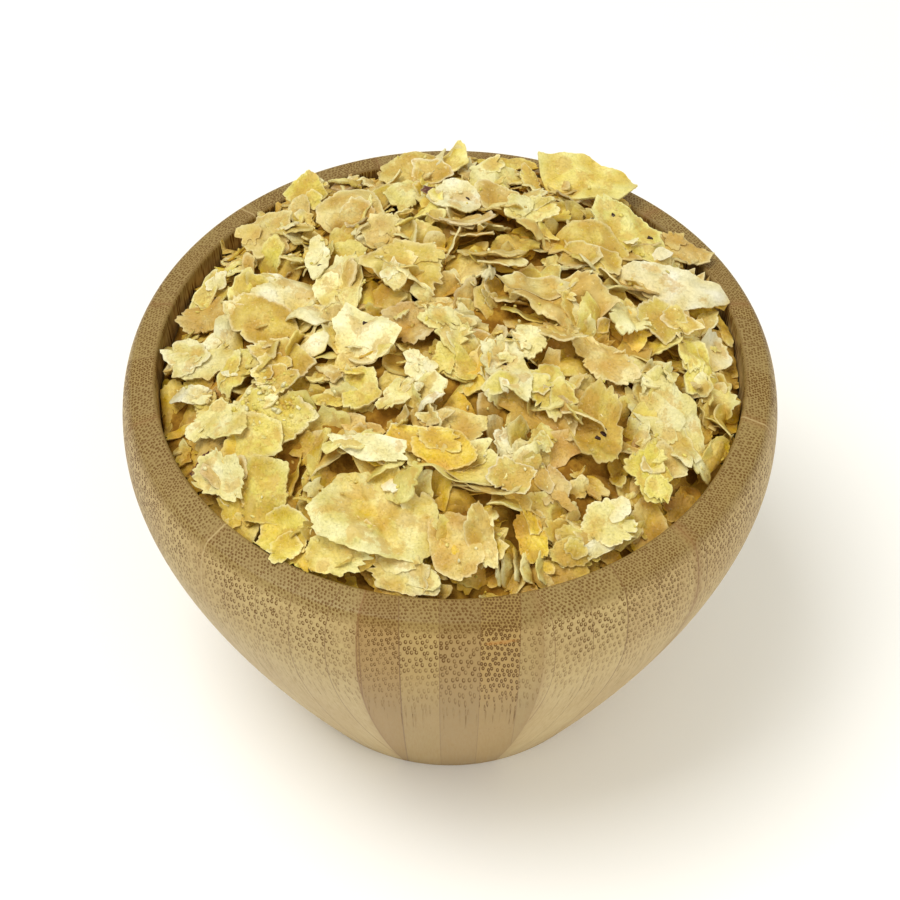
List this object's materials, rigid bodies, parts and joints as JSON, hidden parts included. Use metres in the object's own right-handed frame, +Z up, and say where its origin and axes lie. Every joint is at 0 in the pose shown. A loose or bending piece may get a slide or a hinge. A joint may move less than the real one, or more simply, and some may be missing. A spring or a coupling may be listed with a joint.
{
  "type": "bowl of chestnut flakes",
  "caption": "Small thick-walled turned bamboo bowl, heaped above its rim with thin, ragged, pale yellow chestnut flakes.",
  "frame": {"origin": "middle of the flat underside of the bowl's foot, which it stands on", "axes": "+Z up, -Y towards the front, +X to the right"},
  "size_m": [0.14, 0.14, 0.1125],
  "materials": {
    "bamboo": "satin",
    "chestnut": "matte"
  },
  "bodies": {
    "root": {"bowl": "bamboo", "flakes": "chestnut"}
  },
  "joints": []
}
